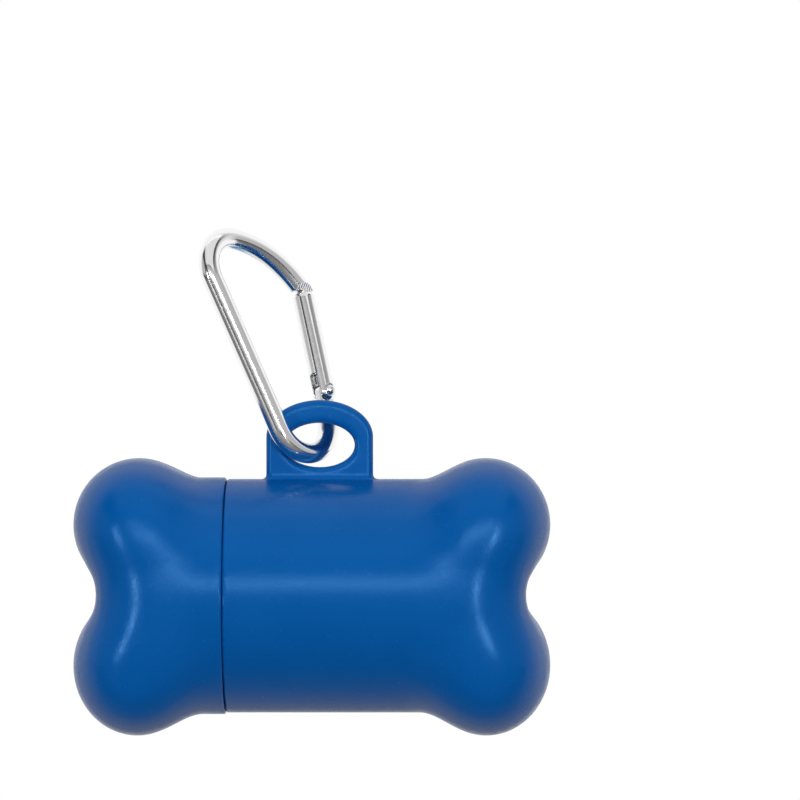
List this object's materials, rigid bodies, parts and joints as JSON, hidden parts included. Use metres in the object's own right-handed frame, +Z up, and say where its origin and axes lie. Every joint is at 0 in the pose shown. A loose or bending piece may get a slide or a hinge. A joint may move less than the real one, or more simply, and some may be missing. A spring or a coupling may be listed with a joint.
{
  "type": "dog waste bag dispenser",
  "caption": "Bone-shaped plastic dispenser for a roll of dog waste bags, with a push-on end cap, a round bag opening and a small carabiner.",
  "frame": {"origin": "the point at the top of the carabiner's loop where a lead bears on it", "axes": "+X along the bone from the cap to the closed end, +Z up towards the lead, -Y the front and +Y the back, where the bags leave"},
  "size_m": [0.0881, 0.1452, 0.0906],
  "materials": {
    "blue_plastic": "satin",
    "film": "thin translucent film",
    "cardboard": "matte",
    "aluminium": "polished",
    "rivet_steel": "polished",
    "spring_steel": "drawn wire"
  },
  "bodies": {
    "link": {"carabiner_frame": "aluminium"},
    "gate": {"carabiner_gate": "aluminium", "gate_rivet": "rivet_steel", "gate_spring": "spring_steel", "spring_plunger": "spring_steel"},
    "bone": {"housing": "blue_plastic"},
    "cap": {"end_cap": "blue_plastic"},
    "roll": {"bag_roll": "film", "roll_core": "cardboard"},
    "bag": {"drawn_bag": "film"}
  },
  "joints": [
    {"name": "body_swing", "type": "hinge", "parent": "link", "child": "bone", "pos_m": [0.01602, -0.0013, -0.03154], "axis": [1, 0, 0], "range_deg": [0, 80]},
    {"name": "gate_open", "type": "hinge", "parent": "link", "child": "gate", "pos_m": [0.01665, 0.0052, -0.02615], "axis": [0.6799, -0.6691, 0.2999], "range_deg": [0, 26], "stiffness_Nm_per_rad": 0.02, "springref_deg": -17.19},
    {"name": "cap_pull", "type": "slide", "parent": "bone", "child": "cap", "axis": [-1, 0, 0], "range_m": [0, 0.035]},
    {"name": "bag_pull", "type": "slide", "parent": "bone", "child": "bag", "axis": [0, 1, 0], "range_m": [0, 0.03], "deforming": ["drawn_bag"]},
    {"name": "roll_spin", "type": "hinge", "parent": "bone", "child": "roll", "pos_m": [0.01508, -0.0013, -0.06514], "axis": [1, 0, 0], "range_deg": [-115, 5]}
  ],
  "couplings": [
    {"joint": "roll_spin", "follows": "bag_pull", "rad_per_m": -64.5}
  ]
}
